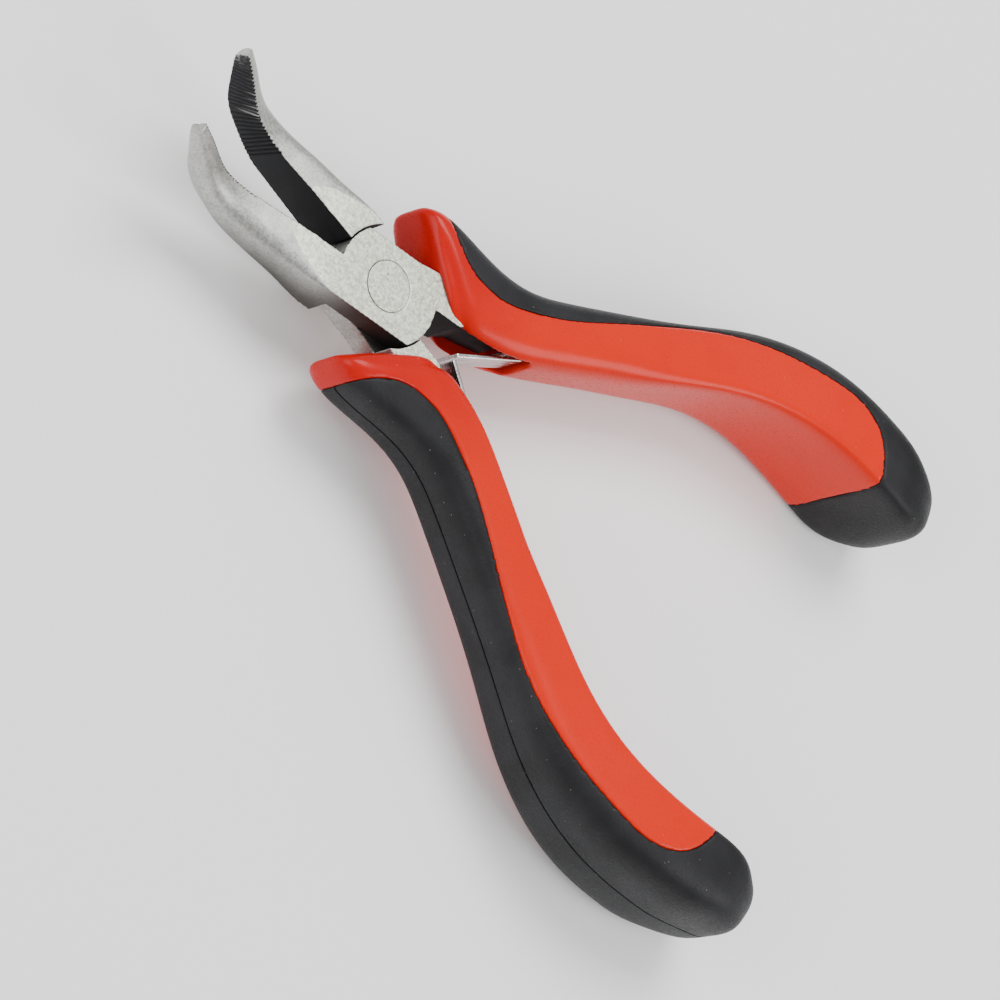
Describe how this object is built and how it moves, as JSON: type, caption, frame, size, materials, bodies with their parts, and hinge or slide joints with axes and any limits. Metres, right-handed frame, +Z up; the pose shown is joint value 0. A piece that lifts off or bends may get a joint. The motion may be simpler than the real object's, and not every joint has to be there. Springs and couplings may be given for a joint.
{
  "type": "bent-nose mini pliers",
  "caption": "Small bent-nose pliers with a lap joint on a flush rivet, serrated curved jaws, two-colour contoured grips and paired leaf springs between the handles.",
  "frame": {"origin": "on the rivet's axis, at the flat underside of the joint", "axes": "+X from the rivet to the jaws, +Z up along the rivet's axis (the jaws bend toward it), +Y the upper half's jaw side"},
  "size_m": [0.1284, 0.084, 0.02],
  "materials": {
    "forged_steel": "satin, blasted and ground",
    "rivet_steel": "ground flush",
    "orange_red_plastic": "moulded, glossy",
    "dark_soft_cover": "matte, finely textured",
    "spring_steel": "bright strip",
    "pin_steel": "dull"
  },
  "bodies": {
    "lower_half": {"lower_jaw_half": "forged_steel", "lower_grip_core": "orange_red_plastic", "lower_grip_cover": "dark_soft_cover", "lower_spring_pin": "pin_steel", "pivot_rivet": "rivet_steel"},
    "upper_half": {"upper_jaw_half": "forged_steel", "upper_grip_core": "orange_red_plastic", "upper_grip_cover": "dark_soft_cover", "upper_spring_pin": "pin_steel"},
    "lower_leaf": {"lower_leaf_spring": "spring_steel"},
    "upper_leaf": {"upper_leaf_spring": "spring_steel"}
  },
  "joints": [
    {"name": "pivot", "type": "hinge", "parent": "lower_half", "child": "upper_half", "pos_m": [0, 0, 0.0035], "axis": [0, 0, 1], "range_deg": [-18.3, 5], "stiffness_Nm_per_rad": 0.5},
    {"name": "upper_leaf_root", "type": "hinge", "parent": "upper_half", "child": "upper_leaf", "pos_m": [-0.02202, -0.00792, 0.0035], "axis": [0, 0, 1], "range_deg": [-13.49, 3.69]},
    {"name": "lower_leaf_root", "type": "hinge", "parent": "lower_half", "child": "lower_leaf", "pos_m": [-0.02202, 0.00792, 0.0035], "axis": [0, 0, 1], "range_deg": [-3.69, 13.49]}
  ],
  "couplings": [
    {"joint": "upper_leaf_root", "follows": "pivot", "ratio": 0.737},
    {"joint": "lower_leaf_root", "follows": "pivot", "ratio": -0.737}
  ]
}
